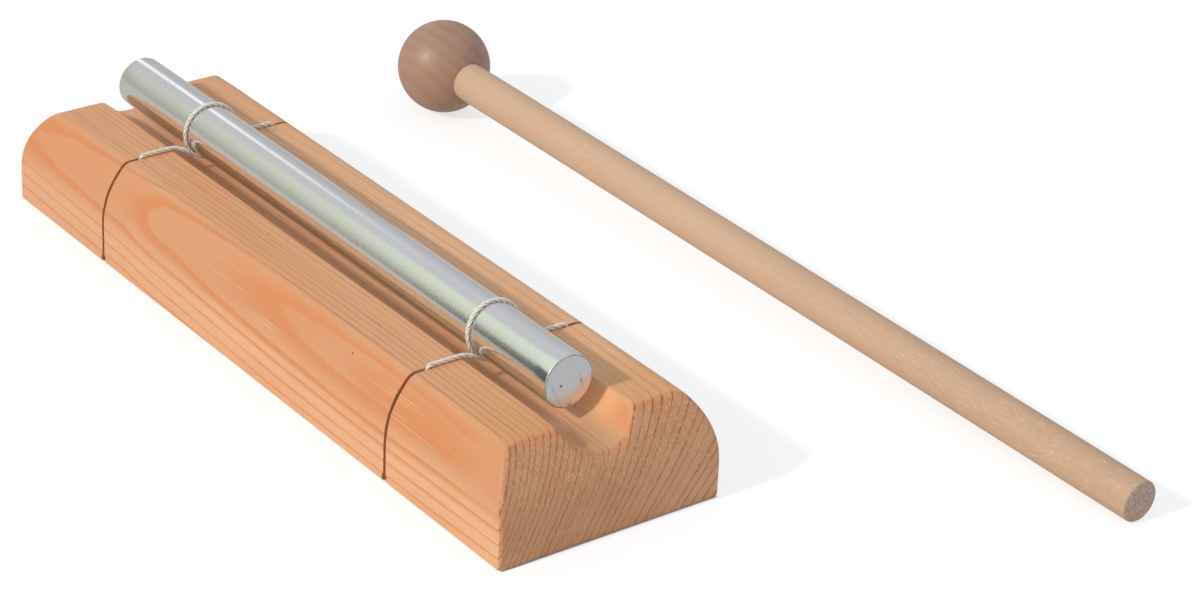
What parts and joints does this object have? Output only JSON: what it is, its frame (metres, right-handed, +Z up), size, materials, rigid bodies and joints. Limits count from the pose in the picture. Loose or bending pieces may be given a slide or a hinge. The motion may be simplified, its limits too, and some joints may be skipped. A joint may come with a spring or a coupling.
{
  "type": "table chime",
  "caption": "Table chime: a round metal bar slung on cords over the groove of a rounded wooden block, with a ball-headed wooden mallet to strike it.",
  "frame": {"origin": "middle of the base's underside, on the table", "axes": "+Z up, +X along the bar towards the front end of the base, +Y towards the side where the mallet lies"},
  "size_m": [0.2667, 0.1336, 0.0363],
  "materials": {
    "base_wood": "sanded softwood, straight rings, thin satin oil",
    "bar_metal": "polished round, satin sawn ends",
    "cord_twine": "twisted synthetic twine, light sheen",
    "head_wood": "turned hardwood ball, satin",
    "handle_wood": "pale hardwood dowel, bare"
  },
  "bodies": {
    "base": {"base_block": "base_wood", "front_cord_knot": "cord_twine", "rear_cord_knot": "cord_twine"},
    "cords": {"front_cord": "cord_twine", "rear_cord": "cord_twine"},
    "bar": {"chime_bar": "bar_metal"},
    "mallet": {"mallet_head": "head_wood", "mallet_handle": "handle_wood"}
  },
  "joints": [
    {"name": "bar_bounce", "type": "slide", "parent": "base", "child": "cords", "axis": [0, 0, 1], "range_m": [-0.0022, 0.003], "stiffness_N_per_m": 2000, "springref_m": 0.0003, "deforming": ["front_cord", "rear_cord"]},
    {"name": "bar_roll", "type": "hinge", "parent": "cords", "child": "bar", "pos_m": [0, 0, 0.0287], "axis": [1, 0, 0], "continuous": true},
    {"name": "mallet_lift", "type": "slide", "parent": "base", "child": "mallet", "axis": [0, 0, 1], "range_m": [0, 0.15]}
  ]
}
